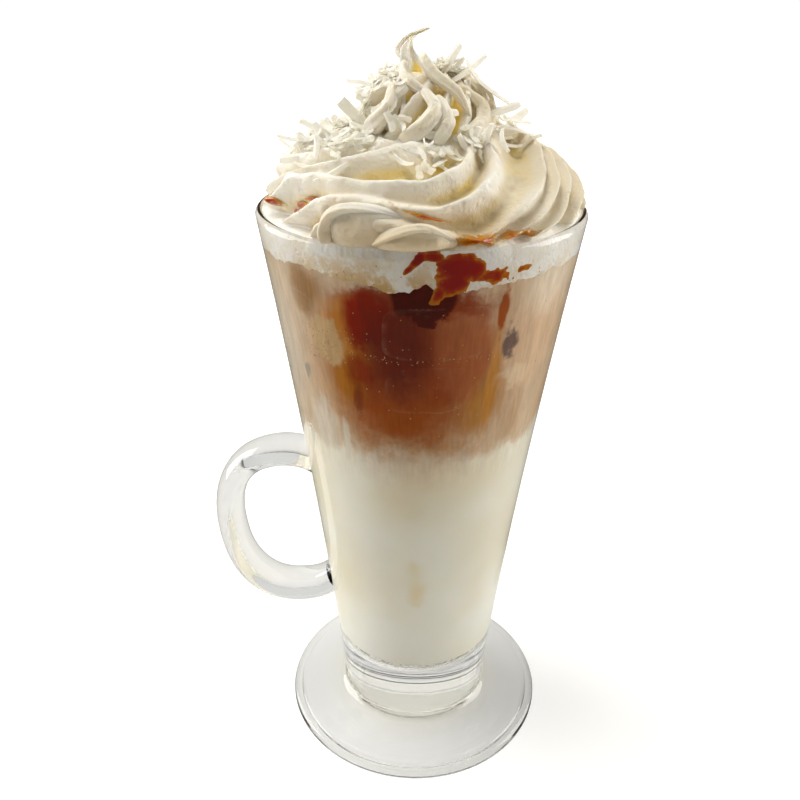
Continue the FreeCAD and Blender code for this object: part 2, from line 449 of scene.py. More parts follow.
def cream_material():
    """Whipped cream: painted highlights on its crests, painted warm shade in its grooves, at its
    lower and upper front and on its right side, and stains where syrup has run.
    """
    mat = Shader("whipped_cream")
    azimuth, height = mat.cylinder()
    groove = mat.attribute("groove")
    patch = mat.ramp(mat.noise(0.08, 2.0), 0.38, 0.62)
    colour = mat.mix(mat.ramp(mat.noise(0.05, 3.0), 0.3, 0.7),
                     srgb(244, 240, 230), srgb(236, 229, 212))
    # painted highlight: crests are made whiter
    colour = mat.mix(mat.ramp(groove, 0.10, 0.0, 0.0, 0.7), colour, srgb(254, 252, 246))
    # painted shade: grooves are turned warmer and darker
    warm = mat.times(mat.ramp(groove, 0.3, 1.0), 0.55)
    colour = mat.mix(warm, colour, srgb(228, 210, 166))
    # painted shade: the deepest grooves high up are turned yellow, in patches
    painted_deep_shade = mat.times(mat.ramp(groove, 0.62, 0.95), patch)
    high_up = mat.ramp(height, swirl_base + 4, swirl_base + 16, 0.15, 1.0)
    colour = mat.mix(mat.times(painted_deep_shade, high_up), colour, srgb(244, 214, 84))
    front = mat.away(azimuth, -88.0)
    # painted shade: the lower front of the cream is made darker and warmer
    painted_front_shade = mat.times(mat.ramp(front, 18, 52, 0.62, 0.0),
                     mat.ramp(height, swirl_base, swirl_base + 11, 1.0, 0.0))
    colour = mat.mix(painted_front_shade, colour, srgb(204, 174, 118))
    # painted shade: grooves on the upper front are made warmer and darker
    painted_upper_shade = mat.times(mat.ramp(front, 26, 60, 0.36, 0.0),
                     mat.ramp(height, swirl_base + 10, swirl_base + 20))
    painted_upper_shade = mat.times(painted_upper_shade, mat.ramp(groove, 0.1, 0.6, 0.35, 1.0))
    colour = mat.mix(painted_upper_shade, colour, srgb(222, 196, 124))
    # painted shade: the right side of the cream is made darker and warmer
    right = mat.ramp(mat.away(azimuth, -12.0), 12, 48, 0.5, 0.0)
    colour = mat.mix(right, colour, srgb(204, 186, 146))
    in_glass = mat.ramp(height, glass_top + 0.3, glass_top - 0.8)
    colour = mat.mix(in_glass, colour, srgb(255, 253, 247))
    stain = mat.times(mat.ramp(height, glass_top - 0.5, coffee_level, 0.25, 1.0),
                      mat.ramp(mat.away(azimuth, -108.0), 16, 34, 0.95, 0.35))
    blot = mat.ramp(mat.noise(0.16, 5.0, 0.7), 0.40, 0.56)
    stain = mat.times(mat.times(stain, in_glass), blot)
    colour = mat.mix(stain, colour, srgb(210, 168, 78))
    mat.set(Base_Color=colour, Roughness=0.5, Specular_IOR_Level=0.35)
    mat.soften(0.35, (1.0, 0.8, 0.45), 1.3)
    grain = mat.times(mat.noise(1.6, 3.0, 0.7), 0.6)
    pore = mat.noise(0.7, 4.0, 0.75)
    pits = mat.node("TexVoronoi", {"Vector": mat.place(), "Scale": 0.42 / MM})
    pit = mat.times(mat.ramp(pits.outputs["Distance"], 0.0, 0.34), 0.7)
    mat.relief(mat.plus(mat.plus(grain, pore), pit), 0.34, 0.8)
    return mat.material


def syrup_material(name, gloss, body):
    """Syrup whose colour deepens with the film's thickness times its body."""
    mat = Shader(name)
    thick = mat.times(mat.attribute("thick"), body)
    swirl = mat.noise(0.28, 4.0, 0.65)
    depth = mat.plus(thick, mat.times(mat.minus(swirl, 0.5), 0.9))
    colour = mat.mix(mat.ramp(depth, 0.1, 0.5), srgb(220, 178, 76), srgb(196, 118, 6))
    colour = mat.mix(mat.ramp(depth, 0.48, 0.75), colour, srgb(164, 46, 0))
    colour = mat.mix(mat.ramp(depth, 0.72, 1.05), colour, srgb(148, 8, 0))
    mat.set(Base_Color=colour, Roughness=0.15, Specular_IOR_Level=0.5 * gloss,
            Coat_Weight=0.5 * gloss, Coat_Roughness=0.05,
            Alpha=mat.ramp(depth, 0.0, 0.5))
    mat.relief(swirl, 0.05, 0.3)
    return mat.material


def sliver_material():
    """White shavings that let some light through."""
    mat = Shader("white_slivers")
    fibre = mat.noise(0.9, 3.0, 0.6)
    colour = mat.mix(mat.ramp(fibre, 0.3, 0.7), srgb(255, 255, 251), srgb(255, 251, 240))
    mat.set(Base_Color=colour, Roughness=0.5, Specular_IOR_Level=0.3)
    mat.relief(fibre, 0.08, 0.5)
    mat.blend(0.4, mat.node("BsdfTranslucent", {"Color": colour}).outputs[0])
    return mat.material


def bubble_material():
    mat = Shader("froth_bubbles")
    shade = mat.noise(1.2, 2.0)
    mat.set(Base_Color=mat.mix(shade, srgb(226, 196, 150), srgb(190, 140, 90)),
            Roughness=0.08, Specular_IOR_Level=0.8)
    return mat.material


# ---- cream swirl

# How a crest climbs the lower tier: degrees from its start, climb from 0 to 1
CREST_RUN = (0, 10, 18, 27, 40, 52, 68, 85, 105)
CREST_CLIMB = (0, .06, .14, .25, .38, .52, .65, .80, 1.0)

# Crests at the front that run their own way: azimuths, climbs
OWN_CRESTS = (
    ((-172, -163, -157, -151, -135, -105, -87, -74, -66, -55),
     (.05, .15, .26, .38, .47, .49, .51, .62, .74, 1.0)),
    ((-148, -137, -132, -122, -111, -98, -83, -72, -61, -53, -44),
     (.02, .16, .27, .345, .36, .32, .30, .38, .53, .69, 1.0)),
    ((-131, -128, -125, -120, -113, -104, -96, -88, -81, -72, -64, -55),
     (-.1, .02, .11, .18, .22, .23, .20, .15, .10, .05, .0, -.1)),
)
# Azimuths where the other crests start
CREST_STARTS = (-80, -67, -52, -28, -7, 16, 36, 59, 80, 103, 124, 146, 166)

END_SLOPE = 0.012             # climb for each degree past either end of a crest
LOBE_SCALE = 3.78             # makes the deepest place of lobe_profile 1


def crest_climbs(azimuth):
    """Climb of every crest at the given azimuths, one row for each crest."""
    rows = []
    runs = [(np.array(CREST_RUN) + start, CREST_CLIMB) for start in CREST_STARTS]
    for at, climbs in list(OWN_CRESTS) + runs:
        away = (azimuth - at[0] + 120) % 360 - 120
        run = np.array(at) - at[0]
        climb = np.interp(away, run, climbs)
        climb = np.where(away < 0, climbs[0] + away * END_SLOPE, climb)
        climb = np.where(away > run[-1], climbs[-1] + (away - run[-1]) * END_SLOPE, climb)
        if climbs[-1] < 0:    # a crest that ends under the rim stays there
            climb = np.where(away > run[-1], climbs[-1], climb)
        rows.append(climb)
    return np.stack(rows)


def lobe_profile(share):
    """Groove depth between two crests: steep at 0, easing out to the crest at 1."""
    share = np.clip(share, 1e-4, 1)
    return LOBE_SCALE * share ** 0.55 * (1 - share) ** 2.0


def overhang(azimuth):
    """How far the cream stands out from its even outline at the rim."""
    return (2.6 * smooth_step(-131, -124, azimuth) * smooth_step(-78, -92, azimuth)
            + 2.6 * bump(2, 16, azimuth) + 0.8 * bump(-38, 9, azimuth)
            - 1.2 * bump(-145, 12, azimuth) - 0.6 * bump(-58, 7, azimuth))


def tier_depth(azimuth, climb):
    """Depth below the crests on the lower tier."""
    azimuth = (azimuth + 180) % 360 - 180
    climbs = crest_climbs(azimuth)
    under = np.where(climbs <= climb, climbs, -0.16).max(0)
    over = np.where(climbs > climb, climbs, 1.12).min(0)
    share = (climb - under) / np.maximum(over - under, 0.02)
    spacing = (over - under) * tier_arc
    depth = np.minimum(tier_groove_share * spacing, tier_groove_most) * lobe_profile(share)
    return depth * smooth_step(1.1, 0.75, climb)


def tier_surface(azimuth, climb, depth=None):
    """Lower tier: corners and groove share at azimuths and climbs from 0 to 1."""
    azimuth = (azimuth + 180) % 360 - 180
    if depth is None:
        depth = tier_depth(azimuth, climb)
    groove = np.clip(depth / 4.0, 0, 1)
    turn = np.pi / 2 * climb
    out, up = np.cos(turn), np.sin(turn)
    x, y = azimuth / 14, climb * 7
    uneven = 0.45 * value_noise(x, y, 0 * x, 3) + 0.2 * value_noise(2.7 * x, 2.7 * y, 0 * x, 5)
    radius = crown_radius + (tier_radius - crown_radius) * out ** 1.1
    radius = radius + overhang(azimuth) * np.exp(-(climb / 0.34) ** 2)
    radius = radius + (uneven - depth) * out
    z = swirl_base + tier_height * up + (uneven - depth) * up
    return around(radius, azimuth, z), groove


def outward(azimuth, climb):
    """Direction straight out of a dome, at azimuths and climbs from 0 to 1."""
    angle, turn = np.radians(azimuth), np.pi / 2 * climb
    return np.stack([np.cos(turn) * np.cos(angle), np.cos(turn) * np.sin(angle),
                     np.sin(turn)], -1)


def roughened(corners):
    """Swirl corners moved in and out by the small unevenness of whipped cream."""
    x, y, z = (corners[..., axis] for axis in range(3))
    rough = 0.12 * value_noise(x / 0.9, y / 0.9, z / 0.9, 31)
    rough = rough + 0.24 * value_noise(x / 2.6, y / 2.6, z / 2.6, 33)
    free = smooth_step(glass_top + 0.5, glass_top + 3, z)
    out = corners - np.array([0, 0, swirl_base - 10])
    out = out / np.linalg.norm(out, axis=-1)[..., None]
    return corners + out * (rough * free)[..., None]


def softened(values):
    """Values on a grid whose rows are climbs and columns azimuths, evened out."""
    values = (np.roll(values, 1, 1) + 2 * values + np.roll(values, -1, 1)) / 4
    for _ in range(4):
        middle = (values[:-2] + 2 * values[1:-1] + values[2:]) / 4
        values = np.concatenate([values[:1], middle, values[-1:]])
    return values


CROWN_FLUTES = 11
crown_starts = np.cumsum([0] + [0.75 + 0.5 * random.random() for _ in range(CROWN_FLUTES - 1)])
crown_starts = crown_starts / (crown_starts[-1] + 1) * 360


def crown_surface(azimuth, climb):
    """Upper tier, whose crests climb steeply."""
    turned = (azimuth - crown_twist * climb + 8 * np.sin(3 * climb) - 12) % 360
    starts = np.append(crown_starts, crown_starts[0] + 360)
    index = np.clip(np.searchsorted(starts, turned, side="right") - 1, 0, CROWN_FLUTES - 1)
    low, high = starts[index], starts[index + 1]
    share = 1 - (turned - low) / (high - low)
    turn = np.pi / 2 * climb
    out, up = np.cos(turn), np.sin(turn)
    radius = tip_radius + (crown_radius - tip_radius) * out ** 1.35
    width = radius * np.radians(high - low)
    depth = np.minimum(crown_groove_share * width, crown_groove_most)
    depth = depth * lobe_profile(share) * (0.45 + 0.55 * out)
    radius = radius - depth * (0.4 + 0.6 * out)
    z = swirl_base + tier_height + crown_height * up - depth * up * 0.5
    return around(radius, azimuth, z), np.clip(depth / 2.2, 0, 1)


def tip_surface(azimuth, climb):
    """Thin ridged tip that leans to the handle's side and curls back."""
    share = ((azimuth - tip_twist * climb) % 90) / 90
    radius = tip_end_radius + (tip_radius - tip_end_radius) * (1 - climb) ** 2.3
    radius = radius * np.sqrt(1 - np.clip((climb - 0.93) / 0.075, 0, 1) ** 2)
    depth = 0.38 * radius * lobe_profile(1 - share)
    sway = -6.4 * np.sin(np.pi * np.clip(climb, 0, 1) * 0.60) + 6.9 * climb ** 3
    crown_end = swirl_base + tier_height + crown_height
    corners = around(radius - depth, azimuth, crown_end + tip_height * (climb - 0.06 * climb ** 4))
    corners[..., 0] += sway
    corners[..., 1] += 0.8 * np.sin(3 * climb)
    return corners, np.clip(depth / 1.6, 0, 1)


def cream_edge(azimuth):
    """Height of the cream's lower edge at the glass."""
    turn = np.radians(azimuth)
    wave = 1.0 * np.sin(2 * turn + 0.8) + 0.8 * np.sin(5 * turn) + 0.5 * np.sin(9 * turn + 2)
    ragged = 0.9 * value_noise(azimuth / 5, azimuth * 0, azimuth * 0, 11)
    ragged = ragged + 0.5 * value_noise(azimuth / 1.7, azimuth * 0, azimuth * 0, 13)
    notch = 2.6 * bump(-88, 3.2, azimuth)
    return coffee_level + 0.6 - 2.0 * bump(-80, 32, azimuth) + wave * 0.7 + ragged + notch


def cream_swirl(material):
    """The plug inside the glass and the swirl over it, as one closed surface."""
    columns = 420
    even = np.arange(columns) * 360 / columns - 180
    rings, grooves = [], []

    def add(corners, groove):
        rings.append(corners)
        grooves.append(groove)

    inside = 0 * even
    edge = cream_edge(even)
    add(around(bowl_inner_radius(edge) - 4.0, even, edge + 0.6), inside)
    for share in np.linspace(0, 1, 6):
        z = edge + (rim_round_height - edge) * share
        dip = 0.8 * (1 - share) ** 8
        add(around(bowl_inner_radius(z) + cream_reach - dip, even, z), inside)
    lip, groove = tier_surface(even, 0 * even)
    reach = np.hypot(lip[:, 0], lip[:, 1])
    add(around(np.minimum(reach, lip_inner_reach), even, glass_top - 0.25), inside)
    add(around(np.minimum(reach, lip_outer_reach), even, glass_top + 0.16), inside)
    add(around(reach - 0.5 * smooth_step(37, 38, reach), even, swirl_base - 0.12), groove)
    climbs = (np.linspace(0, 1, 112) ** 1.1)[:, None]
    turned = even + tier_twist * climbs
    depths = tier_depth(turned.ravel(), (climbs + 0 * turned).ravel())
    depths = softened(depths.reshape(turned.shape))
    for azimuth, climb, depth in zip(turned, climbs, depths):
        add(*tier_surface(azimuth, climb + 0 * azimuth, depth))
    for climb in np.linspace(0.01, 1, 56)[:-1]:
        add(*crown_surface(even + tier_twist + crown_twist * climb, climb + 0 * even))
    turned = even + (tier_twist + crown_twist)
    for climb in np.linspace(0, 1, 36):
        add(*tip_surface(turned + tip_twist * climb, climb + 0 * even))
    rings = roughened(np.stack(rings))
    return lathe_like("cream_swirl", rings, material, {"groove": np.stack(grooves)})


# Folds of cream laid over the swirl: azimuth, radius, height along each one, then its
# half-width, its half-thickness, its end's size over its start's, how deep its face is
# hollowed (0 gives it a sharp ridge instead) and where along its run it is widest
FOLDS = (
    (((-120, 35.2, 156.6), (-115, 36.2, 157.0), (-108, 36.0, 157.2), (-99, 34.4, 157.4),
      (-89, 31.6, 158.0)), 5.0, 3.6, 0.5, 0.3, 0.36),
    (((-119.5, 38.2, 153.6), (-120.5, 38.0, 156.8), (-117.5, 37.4, 160.0), (-111, 36.6, 161.3),
      (-103, 35.2, 160.8), (-94, 33.8, 159.4), (-86, 31.8, 158.8)), 1.5, 1.8, 0.5, 0.0, 0.10),
    (((-105, 35.8, 154.8), (-99, 37.2, 155.6), (-92, 37.6, 156.2), (-85, 37.0, 156.0),
      (-77, 34.8, 155.2)), 2.8, 2.6, 0.4, 0.1, 0.45),
    (((-105, 37.4, 154.6), (-99, 38.2, 156.8), (-93, 38.6, 158.4), (-88.5, 38.4, 158.6),
      (-84, 37.6, 157.4), (-79, 36.2, 155.4)), 1.2, 1.4, 0.45, 0.0, 0.2),
    (((-108, 14.6, 170.2), (-97, 15.4, 172.2), (-86, 15.4, 174.8), (-80, 14.2, 177.8),
      (-90, 10.2, 181.0)), 2.1, 1.7, 0.5),
    (((-82, 15.6, 170.0), (-74, 15.6, 173.2), (-70, 14.8, 176.0), (-76, 12.0, 179.8)),
     2.0, 1.5, 0.5),
    (((-58, 15.8, 171.0), (-45, 16.2, 172.8), (-33, 15.8, 174.6), (-26, 13.8, 177.2),
      (-34, 9.6, 181.2)), 1.9, 1.6, 0.5),
    (((-138, 5.4, 185.6), (-120, 7.6, 182.9), (-100, 9.4, 181.2), (-82, 10.6, 180.0)),
     1.2, 1.2, 0.6),
    (((-22, 14.8, 171.4), (-9, 14.8, 175.0), (-2, 12.6, 178.8), (-12, 8.4, 182.8)),
     1.9, 1.7, 0.5),
    (((-142, 14.8, 171.0), (-129, 15.2, 174.2), (-121, 13.6, 177.8), (-130, 9.6, 181.8)),
     1.9, 1.7, 0.5),
    (((-96, 4.4, 187.4), (-80, 6.8, 184.6), (-64, 9.6, 182.2), (-52, 12.6, 179.4),
      (-46, 14.8, 175.4)), 1.3, 1.3, 0.5),
)


def spline(points, count):
    """Smooth run through points, by Catmull and Rom's rule."""
    points = np.asarray(points, dtype=float)
    full = np.concatenate([[2 * points[0] - points[1]], points, [2 * points[-1] - points[-2]]])
    places = []
    for at in np.linspace(0, len(points) - 1.0001, count):
        index, t = int(at), at % 1
        p0, p1, p2, p3 = full[index:index + 4]
        places.append(p1 + 0.5 * t * (p2 - p0 + t * (
            2 * p0 - 5 * p1 + 4 * p2 - p3 + t * (3 * (p1 - p2) + p3 - p0))))
    return np.array(places)


def fold_rings(points, half_width, half_thick, tail, hollow=0.0, peak=0.24):
    """Rings of one fold: a ribbed band, blunt where it starts and thin where it ends."""
    steps, columns = 60, 40
    run = spline(points, steps)
    middle = around(run[:, 1], run[:, 0], run[:, 2])
    ahead = np.gradient(middle, axis=0)
    ahead = ahead / np.linalg.norm(ahead, axis=1)[:, None]
    climb = np.clip((run[:, 2] - swirl_base) / 30, 0, 0.8)[:, None]
    turn = np.radians(run[:, 0])
    out = np.stack([np.cos(turn), np.sin(turn), 0 * turn], -1) * (1 - climb)
    out = out + np.array([0, 0, 1]) * climb
    side = np.cross(ahead, out)
    side = side / np.linalg.norm(side, axis=1)[:, None]
    out = np.cross(side, ahead)
    share = np.linspace(0, 1, steps)
    rise = np.sqrt(1 - np.clip(1 - share / peak, 0, 1) ** 2)
    fall = 1 - (1 - tail) * np.clip((share - peak) / (1 - peak), 0, 1) ** 1.6
    size = rise * fall * np.sqrt(1 - np.clip((share - 0.88) / 0.12, 0, 1) ** 2) * 0.98 + 0.02
    angle = np.linspace(0, 2 * np.pi, columns + 1)[:-1]
    rib = 1 + 0.20 * np.abs(np.sin(2.5 * angle + 2.2 * share[:, None] + 0.4)) - 0.12
    wide = half_width * size[:, None] * np.cos(angle) * rib
    scoop = bump(np.pi / 2, 1.1, angle) * (bump(0.45, 0.32, share) * hollow)[:, None]
    crest = np.sin(angle)
    if not hollow:
        crest = 1.25 * crest * np.abs(crest) ** 0.8
    thick = half_thick * size[:, None] * crest * rib * (1 - scoop)
    rings = middle[:, None] + side[:, None] * wide[..., None] + out[:, None] * thick[..., None]
    x, y, z = (rings[..., axis] for axis in range(3))
    ripple = 0.55 * value_noise(x / 3.4, y / 3.4, z / 4.6, 17)
    ripple = ripple + 0.22 * value_noise(x / 1.1, y / 1.1, z / 2.0, 19)
    rings = rings + out[:, None] * (ripple * np.minimum(1, half_thick / 2.5))[..., None]
    reach = np.hypot(rings[..., 0], rings[..., 1])
    rests = (reach > rim_radius - rim_wall - 0.2) & (rings[..., 2] < glass_top + 0.15)
    rings[..., 2] = np.where(rests, glass_top + 0.15, rings[..., 2])
    # The second value is read as groove. It brings painted warm shade onto the hollowed face, and
    # its least value of 0.1 keeps the painted crest highlight off the folds.
    return rings, 0.1 + 1.6 * scoop


def cream_folds(material):
    """All folds as one mesh of capped tubes."""
    corners, faces, grooves = [], [], []
    for fold in FOLDS:
        rings, scoop = fold_rings(*fold)
        rows, columns = rings.shape[:2]
        start = len(corners)
        corners += rings.reshape(-1, 3).tolist()
        faces += grid_faces(rows, columns, True, start)
        faces.append(tuple(start + column for column in reversed(range(columns))))
        faces.append(tuple(start + (rows - 1) * columns + column for column in range(columns)))
        grooves += scoop.ravel().tolist()
    return make_object("cream_folds", corners, faces, material, {"groove": grooves})


# ---- what fills the glass

def filling(name, low, high, material, rounded_floor):
    """Milk or coffee, reaching just into the glass wall."""
    columns = 160
    even = np.arange(columns) * 360 / columns
    rings = []
    start = low
    if rounded_floor:
        centre = bowl_inner_radius(low + floor_fillet) - floor_fillet
        for turn in np.linspace(0, np.pi / 2, 9)[:-1]:
            radius = centre + (floor_fillet + drink_reach) * math.sin(turn)
            z = low + floor_fillet - (floor_fillet + drink_reach) * math.cos(turn)
            rings.append(around(radius + 0 * even, even, z))
        start = low + floor_fillet
    for z in np.linspace(start, high, 28):
        rings.append(around(bowl_inner_radius(z) + drink_reach + 0 * even, even, z))
    return lathe_like(name, np.stack(rings), material)


def wall_block(azimuth, z, wide, high, lean, square, reach):
    """Corners and edge share of a rounded block that presses on the inside of the glass."""
    steps = 26
    across, along = np.meshgrid(np.linspace(-1, 1, steps), np.linspace(-1, 1, steps))
    far = (np.abs(across) ** square + np.abs(along) ** square) ** (1 / square)
    most = np.maximum(np.abs(across), np.abs(along))
    scale = np.where(far > 0, most / np.maximum(far, 1e-6), 0)
    across, along = across * scale, along * scale
    far = most
    at = azimuth + across * wide + along * lean
    up = z + along * high + 0.25 * value_noise(across * 3, along * 3, 0 * at, int(z))
    depth = 0.10 * far ** 6 + 1.5 * np.clip(far - 0.93, 0, 1) * 8
    radius = bowl_inner_radius(up) + reach - depth
    return around(radius, at, up), np.clip((far - 0.80) / 0.12, 0, 1) * (far < 0.97)


ICE_BLOCKS = (
    # azimuth, height, half-width in degrees, half-height, lean, squareness
    (-83.5, 134.8, 23.0, 7.4, 1.0, 5.0),
    (-86.0, 120.6, 20.0, 7.0, 2.0, 4.0),
    (-41.0, 130.8, 17.5, 11.8, 3.5, 3.2),
    (-139.0, 133.5, 14.0, 8.6, -3.0, 3.4),
    (40.0, 132.0, 17.0, 9.0, 4.0, 4.0),
    (88.0, 121.0, 18.0, 8.5, -3.0, 4.5),
    (128.0, 134.0, 15.0, 8.0, 2.0, 4.0),
)


def ice(material):
    """Faces of ice cubes that press on the inside of the glass."""
    corners, faces, edges = [], [], []
    for block in ICE_BLOCKS:
        places, edge = wall_block(*block, ice_reach)
        rows, columns = places.shape[:2]
        faces += grid_faces(rows, columns, False, sum(len(c) for c in corners))
        corners.append(places.reshape(-1, 3))
        edges.append(edge.ravel())
    return make_object("ice", np.concatenate(corners), faces, material,
                       {"edge": np.concatenate(edges)})


def film(name, spans, shape, rows_each, waves, material):
    """Syrup film on a surface: it sinks under the surface where its thickness ends.

    Rows and waves of unevenness are for each unit of height or climb."""
    corners, faces, values = [], [], []
    for (left, right, low, high), blobs in spans:
        columns = max(12, int((right - left) * 3))
        rows = max(12, int((high - low) * rows_each))
        at, up = np.meshgrid(np.linspace(left, right, columns), np.linspace(low, high, rows))
        thick = 0 * at
        for blob_at, blob_up, wide, tall, slant, full in blobs:
            across = (at - blob_at - slant * (up - blob_up)) / wide
            far = np.sqrt(across ** 2 + ((up - blob_up) / tall) ** 2)
            thick = np.maximum(thick, full * (1.25 - far))
        inside = np.minimum(np.minimum(at - left, right - at) / (right - left),
                            np.minimum(up - low, high - up) / (high - low))
        thick = thick - 1.2 * smooth_step(0.10, 0.0, inside)
        thick = thick + 0.16 * value_noise(at / 3.1, up * waves, 0 * at, 21)
        thick = thick + 0.07 * value_noise(at / 1.1, up * waves * 3, 0 * at, 23)
        faces += grid_faces(rows, columns, False, sum(len(c) for c in corners))
        corners.append(shape(at, up, thick).reshape(-1, 3))
        values.append(np.clip(thick, 0, 1).ravel())
    return make_object(name, np.concatenate(corners), faces, material,
                       {"thick": np.concatenate(values)})


def on_wall(azimuth, z, thick):
    radius = bowl_inner_radius(z) + drip_reach - 0.5 * smooth_step(0.45, 0.0, thick)
    return around(radius, azimuth, z)


def on_swirl(azimuth, climb, thick):
    corners, _ = tier_surface(azimuth, climb)
    rise = 0.85 * smooth_step(0.0, 0.6, thick) - 0.15
    return roughened(corners) + outward(azimuth, climb) * rise[..., None]


WALL_SYRUP = (
    # (azimuths, heights), blobs of azimuth, height, half-width, half-height, slant, thickness
    ((-104, -42, 139, 153.9),
     ((-77.5, 150.0, 9.0, 4.0, 0, 1.0), (-79, 147.4, 6.5, 3.6, 0.4, 0.9),
      (-65, 147.8, 13, 2.9, 0, 0.42), (-55, 148.6, 5.0, 1.4, 1.5, 0.40),
      (-90.5, 152.2, 2.2, 2.6, 1.4, 0.8), (-86, 152.8, 5.0, 1.4, 0, 0.7),
      (-93.5, 150.0, 2.0, 1.8, 1.2, 0.7), (-84, 144.6, 3.4, 2.8, 0.5, 0.65))),
)
SWIRL_SYRUP = (
    # the same, with climbs in place of heights
    ((-176, -150, -.01, .22), ((-161, .10, 4.4, .040, 40, 1.0),)),
    ((-160, -124, -.03, .38), ((-151, .07, 2.4, .050, 30, 1.0), (-147, .16, 2.4, .050, 60, 1.0),
                               (-139, .26, 3.2, .040, 110, 1.0))),
    ((-104, -68, .10, .36), ((-87, .225, 2.4, .060, -165, 0.8),)),
    ((-99, -40, -.03, .17), ((-86, .04, 8, .045, 0, 0.7), (-72, .04, 12, .045, 0, 0.7),
                             (-56, .035, 9, .038, 0, 0.7))),
)


# ---- slivers and bubbles

def sliver(centre, normal, along, length, width, curl):
    """One curled sliver as a thin closed strip."""
    side = normal.cross(along).normalized()
    steps = 6
    taper = random.uniform(0.6, 0.95)
    corners = []
    for step in range(steps + 1):
        run = step / steps - 0.5
        half = width / 2 * (1 - (1 - taper) * abs(2 * run) ** 2.5) * random.uniform(0.82, 1.12)
        rise = curl * (4 * run * run)
        middle = centre + along * (run * length) + normal * (rise + random.uniform(-.06, .06))
        thick = random.uniform(0.24, 0.36)
        sag = width * 0.18
        corners += [middle - side * half, middle + normal * (thick + sag * 0.3),
                    middle + side * half, middle - normal * thick]
    faces = []
    for step in range(steps):
        low = step * 4
        for k in range(4):
            beside = (k + 1) % 4
            faces.append((low + k, low + beside, low + 4 + beside, low + 4 + k))
    faces.append((3, 2, 1, 0))
    top = steps * 4
    faces.append((top, top + 1, top + 2, top + 3))
    return [list(c) for c in corners], faces


SLIVER_ZONES = (
    # surface, azimuths, climbs, how many, shortest, longest
    (tier_surface, -178, -124, 0.48, 0.98, 28, 5.0, 10.0),
    (tier_surface, -178, -124, 0.52, 0.98, 34, 2.0, 5.0),
    (tier_surface, 96, 182, 0.46, 0.98, 64, 4.0, 10.0),
    (tier_surface, -120, -70, 0.66, 0.98, 17, 1.8, 5.0),
    (tier_surface, -66, -44, 0.74, 0.95, 12, 2.5, 6.5),
    (tier_surface, -20, 96, 0.66, 0.98, 46, 3.0, 8.5),
    (crown_surface, 100, 250, 0.05, 0.90, 66, 2.5, 8.5),
    (crown_surface, -30, 100, 0.30, 0.98, 44, 4.0, 10.0),
    (crown_surface, -116, -60, 0.02, 0.25, 10, 2.0, 4.4),
)

# Long slivers that lie where they can be told apart: place, run, length
LONG_SLIVERS = (
    ((-27, -5, 169.0), (-1, -0.1, 0.05), 11), ((-26, -11, 166.6), (-1, 0.15, -0.12), 11),
    ((-19, -14, 167.4), (0.1, -0.3, 1), 7), ((-21, -8, 170.4), (-0.6, 0.2, 0.5), 8),
    ((-15, -7, 175.0), (-0.7, 0, 0.7), 8), ((-13, -3, 181.0), (-1, 0, 0.2), 7.5),
    ((-24, 4, 170.0), (-0.9, 0.3, 0.3), 10), ((-12, -9, 172.6), (-0.8, -0.3, 0.1), 8),
    ((10, -3, 184.0), (0.8, 0, 0.6), 9), ((12, -4, 182.0), (0.7, 0.1, -0.7), 10),
    ((16, -1, 178.6), (0.8, 0, -0.5), 9), ((6, -2, 186.0), (0.5, 0, 0.8), 7),
    ((18, -5, 176.0), (0.9, 0, 0.3), 7), ((24, -3, 169.0), (0.6, 0, 0.5), 6),
    ((21, 0, 171.0), (0.9, 0, -0.2), 7), ((11, -16, 171.4), (0.3, -0.3, 0.8), 6),
    ((14, -15, 171.8), (0.1, -0.2, 1), 6), ((17, -14, 171.0), (-0.3, 0, 0.9), 5),
    ((9, -17, 170.6), (-0.6, 0, 0.6), 5), ((-3, -20, 169.6), (-0.9, 0, 0.3), 4.5),
    ((-9, -19, 169.4), (0.2, -0.4, 0.9), 5), ((-31, 6, 165.0), (-0.7, 0.2, 0.6), 8),
    ((22, 12, 171.0), (0.6, 0.6, 0.4), 9), ((4, 22, 171.0), (0.1, 0.9, 0.4), 9),
)


def slivers(material):
    """White shavings scattered on the cream, with the longest ones placed one by one."""
    corners, faces = [], []

    def lay(centre, normal, along, length, width, curl):
        more, strips = sliver(centre, normal, along, length, width, curl)
        start = len(corners)
        corners.extend(more)
        faces.extend(tuple(start + k for k in face) for face in strips)

    for place, run, length in LONG_SLIVERS:
        along = Vector(run).normalized()
        away = Vector((place[0], place[1], 14)).normalized()
        normal = (away - along * away.dot(along)).normalized()
        lay(Vector(place), normal, along, length, random.uniform(2.0, 2.7),
            random.uniform(-0.5, 0.9))
    for surface, left, right, low, high, count, shortest, longest in SLIVER_ZONES:
        for _ in range(count):
            at, climb = random.uniform(left, right), random.uniform(low, high)
            spot, _ = surface(np.array([at]), np.array([climb]))
            drift = Vector([random.uniform(-1, 1) for _ in range(3)])
            normal = (Vector(outward(at, climb)) + 0.45 * drift).normalized()
            along = normal.cross(Vector([random.uniform(-1, 1) for _ in range(3)])).normalized()
            length = random.uniform(shortest, longest)
            width = random.uniform(1.2, 2.1)
            centre = Vector(spot[0]) + normal * random.uniform(0.3, 1.7)
            lay(centre, normal, along, length, width, random.uniform(-0.4, 1.1))
    made = make_object("white_slivers", corners, faces, material)
    made.data.polygons.foreach_set("use_smooth", [False] * len(made.data.polygons))
    return made


BUBBLE_ZONES = (
    # azimuths, heights, how many
    (-138, -114, 125, 134, 110), (-110, -60, 127.4, 129.2, 46), (-105, -60, 106, 140, 22),
    (-135, -30, 146, 152, 30), (-180, 180, 108, 141, 70),
)


